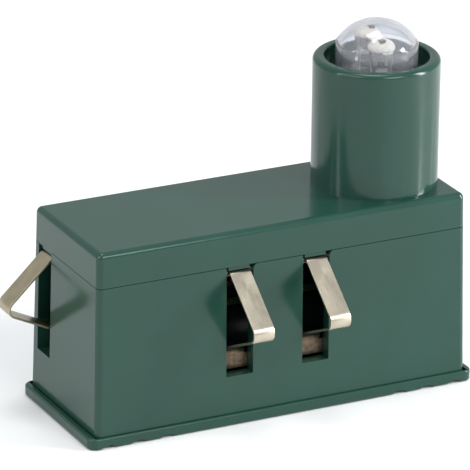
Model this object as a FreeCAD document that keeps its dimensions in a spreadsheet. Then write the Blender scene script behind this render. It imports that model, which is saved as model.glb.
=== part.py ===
import FreeCAD, Part
import math
import os
import Sketcher
from FreeCAD import Vector, Rotation, Placement

# Electric bug zapper: a slim green housing with three sprung contact strips, a
# tall round lamp tower with a clear cap, and the high-voltage driver inside.
# Frame: origin at the centre of the underside, +X towards the tower end,
# -Y the face with two contact strips, +Z up. All sizes are millimetres.

doc = FreeCAD.newDocument("bug_zapper")
dims = doc.addObject("Spreadsheet::Sheet", "dims")

SIZES = [
    ("cover_length", 84.5, "length of the cover at its top edge"),
    ("cover_width", 31.2, "width of the cover at its top edge"),
    ("top_level", 42.3, "height of the cover's flat top"),
    ("part_level", 34.7, "height of the joint between body and cover"),
    ("part_gap", 0.13, "shadow gap in that joint"),
    ("body_foot", 1.7, "height of the body's lower edge"),
    ("draft_angle", 1.08, "draft of the outer walls"),
    ("wall", 2.0, "wall thickness at the top edge"),
    ("corner_radius", 1.35, "upright corner radius"),
    ("lid_edge_radius", 1.3, "radius round the cover's top edge"),
    ("plate_level", 2.5, "height of the base plate's rim"),
    ("rim_end", 1.6, "rim showing past the body at the ends"),
    ("rim_side", 0.7, "rim showing past the body at the sides"),
    ("rim_gap", 0.35, "groove between body and rim"),
    ("rim_corner", 2.0, "plan corner radius of the base plate"),
    ("rim_round", 0.5, "rounding of the base plate's edges"),
    ("groove_radius", 2.91, "radius of the grooves under the base"),
    ("groove_depth", 0.75, "depth of the grooves under the base"),
    ("groove_near", 27.0, "first groove from the middle"),
    ("groove_mid", 33.5, "second groove from the middle"),
    ("groove_far", 40.3, "third groove from the middle"),
    ("slot_width", 6.17, "width of the slots in the side"),
    ("slot_foot", 10.7, "height of the side slots' lower edge"),
    ("end_slot_foot", 11.3, "height of the end slot's lower edge"),
    ("slot_corner", 1.1, "rounding at the right top corner of the side slots"),
    ("slot_left", -10.35, "centre of the left slot in the side"),
    ("slot_right", 7.23, "centre of the right slot in the side"),
    ("slot_end", 10.1, "centre of the slot in the end"),
    ("tab_width", 4.85, "width of the cover tabs in the slots"),
    ("tab_drop", 0.82, "drop of the cover tabs below the joint"),
    ("tab_inset", 0.3, "how far the tabs sit behind the face"),
    ("strip_width", 4.7, "width of a side strip"),
    ("strip_gauge", 0.45, "thickness of a contact strip"),
    ("pin_radius", 0.6, "radius of a contact pin"),
    ("pin_play", 0.05, "running clearance of a strip on its pin"),
    ("pin_seat", 0.03, "clearance of a pin in its notch"),
    ("pin_depth", 3.35, "pin axis behind the outer face"),
    ("pin_level", 32.5, "height of the pin axes"),
    ("pin_length", 10.4, "length of the side pins"),
    ("rib_width", 9.6, "width over the two ribs of a contact"),
    ("rib_depth", 2.8, "how far the ribs stand in from the wall"),
    ("rib_foot", 30.2, "height of the ribs' lower edge"),
    ("tail_play", 0.15, "gap between a strip's tail and the wall"),
    ("tail_foot", 11.2, "height of the side strips' lower ends"),
    ("tail_height", 3.1, "height of the wide tail of a side strip"),
    ("tail_width", 8.4, "width of the wide tail of a side strip"),
    ("end_tail_foot", 9.5, "height of the end strip's lower end"),
    ("elbow_level", 14.5, "side strips: height of the lower bend's centre"),
    ("end_elbow_level", 15.0, "end strip: height of the lower bend's centre"),
    ("end_strip_width", 5.1, "width of the end strip"),
    ("elbow_radius", 2.4, "radius of the lower bend"),
    ("nose_reach", 9.5, "side strips: nose bend centre past the face"),
    ("nose_level", 23.6, "side strips: height of the nose bend centre"),
    ("nose_radius", 1.9, "side strips: radius of the nose bend"),
    ("crest_reach", -0.31, "side strips: upper bend centre past the face"),
    ("end_nose_reach", 7.5, "end strip: nose bend centre past the face"),
    ("end_nose_level", 23.15, "end strip: height of the nose bend centre"),
    ("end_nose_radius", 1.8, "end strip: radius of the nose bend"),
    ("end_crest_reach", -1.08, "end strip: upper bend centre past the face"),
    ("crest_radius", 1.2, "radius of the upper bend"),
    ("tower_middle", 28.85, "distance of the tower axis from the centre"),
    ("tower_radius", 13.4, "outer radius of the tower"),
    ("tower_bore", 11.0, "inner radius of the tower"),
    ("root_depth", 1.0, "depth of the tower's tapered root below the cover's top"),
    ("root_step", 0.1, "how much the tower's root narrows over its depth"),
    ("tower_level", 69.9, "height of the tower's rim"),
    ("shelf_foot", 64.7, "height of the shelf inside the tower"),
    ("shelf_gauge", 1.2, "thickness of that shelf"),
    ("cap_radius", 8.65, "outer radius of the clear cap"),
    ("cap_wall", 1.2, "wall of the clear cap"),
    ("cap_play", 0.15, "clearance of the cap in the shelf"),
    ("cap_crown", 77.6, "height of the cap's crown"),
    ("cap_dome", 10.1, "radius of the cap's dome"),
    ("cap_flange", 10.4, "radius of the cap's foot flange"),
    ("lamp_radius", 2.5, "radius of a lamp"),
    ("lamp_crown", 74.0, "height of a lamp's crown"),
    ("lamp_height", 8.6, "height of a lamp"),
    ("lamp_dome", 4.5, "radius of a lamp's shallow dome"),
    ("rim_inner_round", 0.4, "rounding of the tower's inner rim"),
    ("rim_outer_round", 1.1, "rounding of the tower's outer rim"),
    ("lamp_offset", 3.3, "distance of a lamp from the tower axis"),
    ("lamp_shift", 0.8, "how far both lamps stand from the tower axis towards the body"),
    ("lamp_stagger", 0.6, "how far the lamps' crowns stand above and below their mean"),
    ("lamp_board_level", 62.0, "height of the lamp board's underside"),
    ("board_gauge", 1.6, "thickness of both circuit boards"),
    ("board_gap", 0.3, "gap between the main board and the walls"),
    ("board_left", -30.0, "left edge of the main board"),
    ("board_step", 16.0, "where the main board grows wider"),
    ("board_front", -3.8, "edge of the main board's narrow part"),
    ("boss_radius", 2.6, "radius of the screw bosses"),
    ("boss_bore", 1.05, "radius of the bosses' bores"),
    ("boss_reach", 37.6, "distance of the end bosses from the centre"),
    ("boss_inset", 4.4, "distance of the bosses from the long faces"),
    ("boss_inner", -27.5, "position of the inner boss"),
    ("screw_radius", 1.0, "radius of the screw shanks"),
    ("head_radius", 1.9, "radius of the screw heads"),
    ("head_height", 1.2, "height of the screw heads"),
    ("cell_radius", 7.1, "radius of the battery cell"),
    ("cell_length", 49.0, "length of the cell's can"),
    ("cell_left", -19.5, "left end of the cell's can"),
    ("cell_wall_gap", 1.0, "clearance between the cell and the long wall"),
    ("cell_lift", 2.4, "clearance under the cell"),
    ("board_lift", 2.7, "clearance between the cell and the main board"),
    ("nub_radius", 2.7, "radius of the cell's positive nub"),
    ("nub_length", 1.3, "length of the cell's positive nub"),
    ("terminal_gauge", 0.4, "thickness of the battery terminals"),
    ("wire_radius", 0.45, "radius of the insulated wires"),
    ("wire_bend", 1.5, "bend radius of the wires"),
]
# Places that follow from the sizes above.
PLACES = [
    ("boss_side", "=cover_width / 2 - boss_inset", "distance of the bosses from the middle plane"),
    ("cell_side", "=cover_width / 2 - wall - cell_wall_gap - cell_radius", "cell axis from the middle plane"),
    ("cell_level", "=body_foot + cell_lift + cell_radius", "height of the cell's axis"),
    ("board_level", "=cell_level + cell_radius + board_lift", "height of the main board's underside"),
]
for row, (alias, value, note) in enumerate(SIZES + PLACES, 1):
    dims.set("A%d" % row, note)
    dims.set("B%d" % row, str(value))
    dims.setAlias("B%d" % row, alias)
doc.recompute()

NODES = []


def size(alias):
    return float(dims.get(alias))


def grow(level):
    """Outward growth of the drafted wall below the cover's top."""
    return "(dims.top_level - (%s)) * tan(dims.draft_angle)" % level


# ---- helpers for sketched bodies ----

def new_body(label):
    body = doc.addObject("PartDesign::Body", label)
    body.Label = label
    body.Placement = Placement(Vector(0, 0, 0), Rotation())
    NODES.append(body)
    return body


def origin_plane(body, role):
    for feature in body.Origin.OriginFeatures:
        if feature.Role == role:
            return feature
    raise RuntimeError("no plane " + role)


def new_sketch(body, role, label, offset="0"):
    sketch = body.newObject("Sketcher::SketchObject", label)
    sketch.AttachmentSupport = [(origin_plane(body, role), "")]
    sketch.MapMode = "FlatFace"
    sketch.setExpression("AttachmentOffset.Base.z", offset)
    return sketch


def hold(sketch, kind, *args):
    """Add a size constraint whose last argument is an expression."""
    text = args[-1]
    index = sketch.addConstraint(Sketcher.Constraint(kind, *args[:-1]))
    sketch.setExpression("Constraints[%d]" % index, text)


def add_rect(sketch, left, right, low, high):
    first = sketch.GeometryCount
    corner = [Vector(0, 0, 0), Vector(1, 0, 0), Vector(1, 1, 0), Vector(0, 1, 0)]
    for i in range(4):
        sketch.addGeometry(Part.LineSegment(corner[i], corner[(i + 1) % 4]), False)
    for i in range(4):
        follow = first + (i + 1) % 4
        sketch.addConstraint(Sketcher.Constraint("Coincident", first + i, 2, follow, 1))
    for i in range(0, 4, 2):
        sketch.addConstraint(Sketcher.Constraint("Horizontal", first + i))
        sketch.addConstraint(Sketcher.Constraint("Vertical", first + i + 1))
    hold(sketch, "DistanceX", -1, 1, first, 1, 0.0, left)
    hold(sketch, "DistanceX", -1, 1, first, 2, 1.0, right)
    hold(sketch, "DistanceY", -1, 1, first, 1, 0.0, low)
    hold(sketch, "DistanceY", -1, 1, first + 2, 1, 1.0, high)


def add_circle(sketch, across, up, radius):
    index = sketch.GeometryCount
    sketch.addGeometry(Part.Circle(Vector(1, 1, 0), Vector(0, 0, 1), 1.0), False)
    hold(sketch, "DistanceX", -1, 1, index, 3, 1.0, across)
    hold(sketch, "DistanceY", -1, 1, index, 3, 1.0, up)
    hold(sketch, "Radius", index, 1.0, radius)


def extrude(body, kind, sketch, label, length, reverse=False, middle=False, taper=None):
    feature = body.newObject("PartDesign::" + kind, label)
    feature.Profile = sketch
    feature.Refine = True
    feature.setExpression("Length", length)
    feature.Reversed = reverse
    feature.Midplane = middle
    if taper:
        feature.setExpression("TaperAngle", taper)
    sketch.Visibility = False
    body.Tip = feature
    doc.recompute()
    return feature


def round_edges(body, label, radius, choose):
    base = body.Tip
    names = []
    for i, edge in enumerate(base.Shape.Edges, 1):
        if choose(edge):
            names.append("Edge%d" % i)
    if not names:
        raise RuntimeError("no edges for " + label)
    feature = body.newObject("PartDesign::Fillet", label)
    feature.Base = (base, names)
    feature.setExpression("Radius", radius)
    body.Tip = feature
    doc.recompute()
    return feature


def is_upright(edge):
    box = edge.BoundBox
    return box.ZLength > 2.0 and box.XLength < 1.5 and box.YLength < 1.5


def at_level(level):
    def choose(edge):
        box = edge.BoundBox
        return abs(box.ZMin - level) < 0.01 and abs(box.ZMax - level) < 0.01
    return choose


def ring_at(radius, level):
    def choose(edge):
        round_one = hasattr(edge.Curve, "Radius") and abs(edge.Curve.Radius - radius) < 0.01
        return round_one and at_level(level)(edge)
    return choose


# ---- helpers for primitives ----

def place(obj, x, y, z):
    obj.setExpression("Placement.Base.x", x)
    obj.setExpression("Placement.Base.y", y)
    obj.setExpression("Placement.Base.z", z)


def block(label, x, y, z, length, width, height):
    """Box with its low corner at x, y, z."""
    obj = doc.addObject("Part::Box", label)
    obj.setExpression("Length", length)
    obj.setExpression("Width", width)
    obj.setExpression("Height", height)
    place(obj, x, y, z)
    return obj


def rod(label, x, y, z, radius, height, axis="z"):
    obj = doc.addObject("Part::Cylinder", label)
    turns = {
        "z": Rotation(),
        "x": Rotation(Vector(0, 1, 0), 90),
        "y": Rotation(Vector(1, 0, 0), -90),
    }
    obj.Placement = Placement(Vector(0, 0, 0), turns[axis])
    obj.setExpression("Radius", radius)
    obj.setExpression("Height", height)
    place(obj, x, y, z)
    return obj


def ball(label, x, y, z, radius):
    obj = doc.addObject("Part::Sphere", label)
    obj.setExpression("Radius", radius)
    place(obj, x, y, z)
    return obj


def cone(label, x, y, z, low, high, height):
    obj = doc.addObject("Part::Cone", label)
    obj.setExpression("Radius1", low)
    obj.setExpression("Radius2", high)
    obj.setExpression("Height", height)
    place(obj, x, y, z)
    return obj


def fuse(label, shapes):
    obj = doc.addObject("Part::MultiFuse", label)
    obj.Shapes = shapes
    obj.Refine = True
    return obj


def meet(label, first, second):
    obj = doc.addObject("Part::MultiCommon", label)
    obj.Shapes = [first, second]
    return obj


def cut(label, base, tool):
    obj = doc.addObject("Part::Cut", label)
    obj.Base = base
    obj.Tool = tool
    return obj


def group(label, shapes):
    obj = doc.addObject("Part::Compound", label)
    obj.Links = shapes
    return obj


def node(obj, label):
    obj.Label = label
    NODES.append(obj)
    return obj


# ---- helpers for wires ----

def bent_path(points, radius):
    """Straight runs joined by tangent arcs, as one wire."""
    edges = []
    start = points[0]
    for i in range(1, len(points) - 1):
        here = points[i]
        back = (points[i - 1] - here).normalize()
        ahead = (points[i + 1] - here).normalize()
        half = math.acos(max(-1.0, min(1.0, back.dot(ahead)))) / 2.0
        run = radius / math.tan(half)
        enter = here + back * run
        leave = here + ahead * run
        centre = here + (back + ahead).normalize() * (radius / math.sin(half))
        middle = centre + (here - centre).normalize() * radius
        edges.append(Part.LineSegment(start, enter).toShape())
        edges.append(Part.Arc(enter, middle, leave).toShape())
        start = leave
    edges.append(Part.LineSegment(start, points[-1]).toShape())
    return Part.Wire(edges)


def wire_solid(points, radius, bend):
    path = bent_path(points, bend)
    direction = points[1] - points[0]
    section = Part.Wire([Part.Circle(points[0], direction, radius).toShape()])
    solid = path.makePipeShell([section], True, False)
    expected = math.pi * radius * radius * path.Length
    if abs(solid.Volume - expected) > 0.01 * expected:
        raise RuntimeError("wire volume %.3f, expected %.3f" % (solid.Volume, expected))
    return solid


def wire_node(label, runs):
    shapes = []
    for points in runs:
        shapes.append(wire_solid(points, size("wire_radius"), size("wire_bend")))
    obj = doc.addObject("Part::Feature", label)
    obj.Shape = shapes[0] if len(shapes) == 1 else Part.makeCompound(shapes)
    obj.Placement = Placement(Vector(0, 0, 0), Rotation())
    return node(obj, label)


# ---- lower body ----

body = new_body("lower_body")
FACE_X = "(dims.cover_length / 2)"
FACE_Y = "(dims.cover_width / 2)"
foot_x = "%s + %s" % (FACE_X, grow("dims.body_foot"))
foot_y = "%s + %s" % (FACE_Y, grow("dims.body_foot"))
sketch = new_sketch(body, "XY_Plane", "body_outline", "dims.body_foot")
add_rect(sketch, "-(%s)" % foot_x, foot_x, "-(%s)" % foot_y, foot_y)
extrude(body, "Pad", sketch, "body_block", "dims.part_level - dims.body_foot",
        taper="-dims.draft_angle")
round_edges(body, "body_corners", "dims.corner_radius", is_upright)
inner_x = "(%s - dims.wall)" % FACE_X
inner_y = "(%s - dims.wall)" % FACE_Y
sketch = new_sketch(body, "XY_Plane", "body_hollow_outline", "dims.part_level + 1")
add_rect(sketch, "-" + inner_x, inner_x, "-" + inner_y, inner_y)
extrude(body, "Pocket", sketch, "body_hollow", "dims.part_level + 2")

# Ribs that carry the contact pins.
sketch = new_sketch(body, "XY_Plane", "side_rib_outline", "dims.rib_foot")
for slot in ("dims.slot_left", "dims.slot_right"):
    add_rect(sketch, slot + " - dims.rib_width / 2", slot + " + dims.rib_width / 2",
             "-%s - 0.2" % inner_y, "-%s + dims.rib_depth" % inner_y)
extrude(body, "Pad", sketch, "side_ribs", "dims.part_level - dims.rib_foot")
sketch = new_sketch(body, "XY_Plane", "end_rib_outline", "dims.rib_foot")
add_rect(sketch, "-%s - 0.2" % inner_x, "-%s + dims.rib_depth" % inner_x,
         "dims.slot_end - dims.rib_width / 2", inner_y + " + 0.2")
extrude(body, "Pad", sketch, "end_ribs", "dims.part_level - dims.rib_foot")

# Screw bosses in the corners.
BOSSES = [
    ("dims.boss_reach", "dims.boss_side"),
    ("dims.boss_reach", "-dims.boss_side"),
    ("-dims.boss_reach", "-dims.boss_side"),
    ("dims.boss_inner", "dims.boss_side"),
]
sketch = new_sketch(body, "XY_Plane", "boss_outline", "dims.body_foot")
for x, y in BOSSES:
    add_circle(sketch, x, y, "dims.boss_radius")
extrude(body, "Pad", sketch, "bosses", "dims.board_level - dims.body_foot")
sketch = new_sketch(body, "XY_Plane", "boss_bore_outline", "dims.board_level + 1")
for x, y in BOSSES:
    add_circle(sketch, x, y, "dims.boss_bore")
extrude(body, "Pocket", sketch, "boss_bores", "dims.board_level + 2")

# Slots, open at the top edge.
sketch = new_sketch(body, "XZ_Plane", "side_slot_outline", "dims.cover_width")
for slot in ("dims.slot_left", "dims.slot_right"):
    add_rect(sketch, slot + " - dims.slot_width / 2", slot + " + dims.slot_width / 2",
             "dims.slot_foot", "dims.part_level + 1")
extrude(body, "Pocket", sketch, "side_slots",
        "dims.cover_width / 2 + dims.wall + dims.rib_depth + 0.3")
sketch = new_sketch(body, "YZ_Plane", "end_slot_outline", "-dims.cover_length")
add_rect(sketch, "dims.slot_end - dims.slot_width / 2", "dims.slot_end + dims.slot_width / 2",
         "dims.end_slot_foot", "dims.part_level + 1")
extrude(body, "Pocket", sketch, "end_slot",
        "dims.cover_length / 2 + dims.wall + dims.rib_depth + 0.3", reverse=True)


def slot_corner_edges(edge):
    box = edge.BoundBox
    if abs(box.ZMin - size("part_level")) > 0.01 or abs(box.ZMax - size("part_level")) > 0.01:
        return False
    if box.YLength < 1.0 or box.XLength > 0.01 or box.YMax > 0:
        return False
    for name in ("slot_left", "slot_right"):
        if abs(box.XMin - size(name) - size("slot_width") / 2.0) < 0.01:
            return True
    return False


round_edges(body, "slot_corners", "dims.slot_corner", slot_corner_edges)

# Open-topped notches for the contact pins.
notch = "(dims.pin_radius + dims.pin_seat)"
side_pin = "(-%s + dims.pin_depth)" % FACE_Y
end_pin = "(-%s + dims.pin_depth)" % FACE_X
sketch = new_sketch(body, "YZ_Plane", "side_notch_bottom")
add_circle(sketch, side_pin, "dims.pin_level", notch)
extrude(body, "Pocket", sketch, "side_notch_seats", "dims.cover_length * 0.4", middle=True)
sketch = new_sketch(body, "YZ_Plane", "side_notch_sides")
add_rect(sketch, "%s - %s" % (side_pin, notch), "%s + %s" % (side_pin, notch),
         "dims.pin_level", "dims.part_level + 1")
extrude(body, "Pocket", sketch, "side_notches", "dims.cover_length * 0.4", middle=True)
pin_back = "(%s + 1)" % inner_y
sketch = new_sketch(body, "XZ_Plane", "end_notch_bottom", "-" + pin_back)
add_circle(sketch, end_pin, "dims.pin_level", notch)
notch_run = "(%s - dims.slot_end + dims.rib_width / 2 + 0.5)" % pin_back
extrude(body, "Pocket", sketch, "end_notch_seat", notch_run, reverse=True)
sketch = new_sketch(body, "XZ_Plane", "end_notch_sides", "-" + pin_back)
add_rect(sketch, "%s - %s" % (end_pin, notch), "%s + %s" % (end_pin, notch),
         "dims.pin_level", "dims.part_level + 1")
extrude(body, "Pocket", sketch, "end_notch", notch_run, reverse=True)

# ---- top cover with the tower ----

cover = new_body("top_cover")
lid_foot = "(dims.part_level + dims.part_gap)"
lid_x = "%s + %s" % (FACE_X, grow(lid_foot))
lid_y = "%s + %s" % (FACE_Y, grow(lid_foot))
sketch = new_sketch(cover, "XY_Plane", "lid_outline", lid_foot)
add_rect(sketch, "-(%s)" % lid_x, lid_x, "-(%s)" % lid_y, lid_y)
extrude(cover, "Pad", sketch, "lid_block", "dims.top_level - %s" % lid_foot,
        taper="-dims.draft_angle")
round_edges(cover, "lid_corners", "dims.corner_radius", is_upright)
round_edges(cover, "lid_top_edge", "min(dims.lid_edge_radius; dims.corner_radius - 0.05)",
            at_level(size("top_level")))
sketch = new_sketch(cover, "XY_Plane", "lid_hollow_outline", "0")
add_rect(sketch, "-" + inner_x, inner_x, "-" + inner_y, inner_y)
extrude(cover, "Pocket", sketch, "lid_hollow", "dims.top_level - dims.wall", reverse=True)
sketch = new_sketch(cover, "XY_Plane", "tower_root_outline", "dims.top_level - dims.root_depth")
add_circle(sketch, "dims.tower_middle", "0", "dims.tower_radius - dims.root_step")
extrude(cover, "Pad", sketch, "tower_root", "dims.root_depth",
        taper="atan(dims.root_step / dims.root_depth)")
sketch = new_sketch(cover, "XY_Plane", "tower_outline", "dims.top_level")
add_circle(sketch, "dims.tower_middle", "0", "dims.tower_radius")
extrude(cover, "Pad", sketch, "tower", "dims.tower_level - dims.top_level")
sketch = new_sketch(cover, "XY_Plane", "tower_lower_bore_outline", "0")
add_circle(sketch, "dims.tower_middle", "0", "dims.tower_bore")
extrude(cover, "Pocket", sketch, "tower_lower_bore", "dims.shelf_foot", reverse=True)
sketch = new_sketch(cover, "XY_Plane", "tower_upper_bore_outline", "dims.tower_level + 1")
add_circle(sketch, "dims.tower_middle", "0", "dims.tower_bore")
extrude(cover, "Pocket", sketch, "tower_upper_bore",
        "dims.tower_level + 1 - dims.shelf_foot - dims.shelf_gauge")
sketch = new_sketch(cover, "XY_Plane", "shelf_hole_outline", "dims.tower_level + 1")
add_circle(sketch, "dims.tower_middle", "0", "dims.cap_radius + dims.cap_play")
extrude(cover, "Pocket", sketch, "shelf_hole", "dims.tower_level + 1 - dims.shelf_foot + 1")
round_edges(cover, "tower_outer_rim", "dims.rim_outer_round",
            ring_at(size("tower_radius"), size("tower_level")))
round_edges(cover, "tower_inner_rim", "dims.rim_inner_round",
            ring_at(size("tower_bore"), size("tower_level")))

# Tongues that locate the cover inside the body.
fit = "0.15"
sketch = new_sketch(cover, "XY_Plane", "tongue_outline", "dims.part_level - 1.8")
add_rect(sketch, "-%s + 10" % inner_x, inner_x + " - 3",
         "%s - %s - 1" % (inner_y, fit), "%s - %s" % (inner_y, fit))
add_rect(sketch, "dims.slot_right + 11", inner_x + " - 3",
         "-%s + %s" % (inner_y, fit), "-%s + %s + 1" % (inner_y, fit))
add_rect(sketch, "-%s + 3" % inner_x, "dims.slot_left - 7",
         "-%s + %s" % (inner_y, fit), "-%s + %s + 1" % (inner_y, fit))
add_rect(sketch, "%s - %s - 1" % (inner_x, fit), "%s - %s" % (inner_x, fit),
         "-dims.boss_side + 2", "dims.boss_side - 2")
add_rect(sketch, "-%s + %s" % (inner_x, fit), "-%s + %s + 1" % (inner_x, fit),
         "-dims.boss_side + 2", "dims.slot_end - dims.rib_width / 2 - 3")
extrude(cover, "Pad", sketch, "tongues", "dims.top_level - dims.part_level + 1.8 - 1")

# Feet that hold the pins down in their notches.
foot_low = "(dims.pin_level + dims.pin_radius + 0.05)"
foot_half = "(dims.pin_radius - 0.05)"
sketch = new_sketch(cover, "XY_Plane", "foot_outline", foot_low)
for slot in ("dims.slot_left", "dims.slot_right"):
    add_rect(sketch, slot + " - dims.rib_width / 2 + 0.2", slot + " - dims.slot_width / 2 - 0.2",
             "%s - %s" % (side_pin, foot_half), "%s + %s" % (side_pin, foot_half))
    add_rect(sketch, slot + " + dims.slot_width / 2 + 0.2", slot + " + dims.rib_width / 2 - 0.2",
             "%s - %s" % (side_pin, foot_half), "%s + %s" % (side_pin, foot_half))
add_rect(sketch, "%s - %s" % (end_pin, foot_half), "%s + %s" % (end_pin, foot_half),
         "dims.slot_end - dims.rib_width / 2 + 0.2", "dims.slot_end - dims.slot_width / 2 - 0.2")
extrude(cover, "Pad", sketch, "pin_feet", "dims.top_level - 1 - %s" % foot_low)

# Tabs that close the tops of the slots.
tab_low = "(dims.part_level - dims.tab_drop)"
sketch = new_sketch(cover, "XY_Plane", "tab_outline", tab_low)
for slot in ("dims.slot_left", "dims.slot_right"):
    add_rect(sketch, slot + " - dims.tab_width / 2", slot + " + dims.tab_width / 2",
             "-%s + dims.tab_inset" % FACE_Y, "-%s - 0.05" % inner_y)
add_rect(sketch, "-%s + dims.tab_inset" % FACE_X, "-%s - 0.05" % inner_x,
         "dims.slot_end - dims.tab_width / 2", "dims.slot_end + dims.tab_width / 2")
extrude(cover, "Pad", sketch, "slot_tabs", "dims.tab_drop + 1.2")

# ---- base plate ----

plate = new_body("base_plate")
plate_x = "(%s + dims.rim_end)" % foot_x
plate_y = "(%s + dims.rim_side)" % foot_y
sketch = new_sketch(plate, "XY_Plane", "plate_outline", "0")
add_rect(sketch, "-" + plate_x, plate_x, "-" + plate_y, plate_y)
extrude(plate, "Pad", sketch, "plate_block", "dims.plate_level")
round_edges(plate, "plate_corners", "dims.rim_corner", is_upright)
round_edges(plate, "plate_top_edge", "dims.rim_round", at_level(size("plate_level")))
round_edges(plate, "plate_bottom_edge", "dims.rim_round", at_level(0.0))
well_x = "(%s + dims.rim_gap)" % foot_x
well_y = "(%s + dims.rim_gap)" % foot_y
sketch = new_sketch(plate, "XY_Plane", "well_outline", "dims.plate_level + 1")
add_rect(sketch, "-" + well_x, well_x, "-" + well_y, well_y)
extrude(plate, "Pocket", sketch, "well", "dims.plate_level + 1 - dims.body_foot")
GROOVE_ROWS = [
    ("outer_grooves", ("dims.groove_near", "dims.groove_far")),
    ("middle_grooves", ("dims.groove_mid",)),
]
for label, reaches in GROOVE_ROWS:
    sketch = new_sketch(plate, "XZ_Plane", label + "_outline", "0")
    for side in ("-", ""):
        for reach in reaches:
            add_circle(sketch, side + reach, "dims.groove_depth - dims.groove_radius",
                       "dims.groove_radius")
    extrude(plate, "Pocket", sketch, label, "dims.cover_width * 2", middle=True)

# Cradles and end stops for the cell.
sketch = new_sketch(plate, "XY_Plane", "cradle_outline", "dims.body_foot - 0.5")
for middle in ("(dims.cell_left + 8)", "(dims.cell_left + dims.cell_length - 8)"):
    add_rect(sketch, middle + " - 0.8", middle + " + 0.8",
             "dims.cell_side - dims.cell_radius", "dims.cell_side + dims.cell_radius")
extrude(plate, "Pad", sketch, "cradles", "dims.cell_level - dims.body_foot + 0.5")
sketch = new_sketch(plate, "YZ_Plane", "cradle_seat_outline",
                    "dims.cell_left + dims.cell_length / 2")
add_circle(sketch, "dims.cell_side", "dims.cell_level", "dims.cell_radius + 0.1")
extrude(plate, "Pocket", sketch, "cradle_seats", "dims.cell_length", middle=True)
nub_end = "(dims.cell_left + dims.cell_length + dims.nub_length)"
plus_face = "(%s + 0.05)" % nub_end
minus_face = "(dims.cell_left - 4.25)"
sketch = new_sketch(plate, "XY_Plane", "stop_outline", "dims.body_foot - 0.5")
add_rect(sketch, plus_face + " + dims.terminal_gauge + 0.05", plus_face + " + dims.terminal_gauge + 1.65",
         "dims.cell_side - 4.5", "dims.cell_side + 4.5")
add_rect(sketch, minus_face + " - dims.terminal_gauge - 1.65", minus_face + " - dims.terminal_gauge - 0.05",
         "dims.cell_side - 4.5", "dims.cell_side + 2.7")
extrude(plate, "Pad", sketch, "stops", "dims.cell_level + 0.5 - dims.body_foot")
sketch = new_sketch(plate, "XY_Plane", "screw_hole_outline", "dims.plate_level")
for x, y in BOSSES:
    add_circle(sketch, x, y, "dims.screw_radius + 0.2")
extrude(plate, "Pocket", sketch, "screw_holes", "dims.plate_level + 1")
sketch = new_sketch(plate, "XY_Plane", "screw_recess_outline", "-1")
for x, y in BOSSES:
    add_circle(sketch, x, y, "dims.head_radius + 0.3")
extrude(plate, "Pocket", sketch, "screw_recesses", "dims.head_height + 1.1", reverse=True)

# ---- screws ----

base_screws = []
for i, (x, y) in enumerate(BOSSES):
    head = rod("base_head_%d" % i, x, y, "0.1", "dims.head_radius", "dims.head_height")
    shank = rod("base_shank_%d" % i, x, y, "dims.head_height", "dims.screw_radius", "9")
    base_screws.append(fuse("base_screw_%d" % i, [head, shank]))
node(group("base_screw_set", base_screws), "base_screws")
board_top = "(dims.board_level + dims.board_gauge)"
board_screws = []
for i, (x, y) in enumerate([BOSSES[0], BOSSES[1], BOSSES[3]]):
    head = rod("board_head_%d" % i, x, y, board_top, "dims.head_radius", "1")
    shank = rod("board_shank_%d" % i, x, y, "dims.board_level - 5.5", "dims.screw_radius",
                "dims.board_gauge + 5.6")
    board_screws.append(fuse("board_screw_%d" % i, [head, shank]))
node(group("board_screw_set", board_screws), "board_screws")

# ---- contact strips on their pins ----


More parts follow.
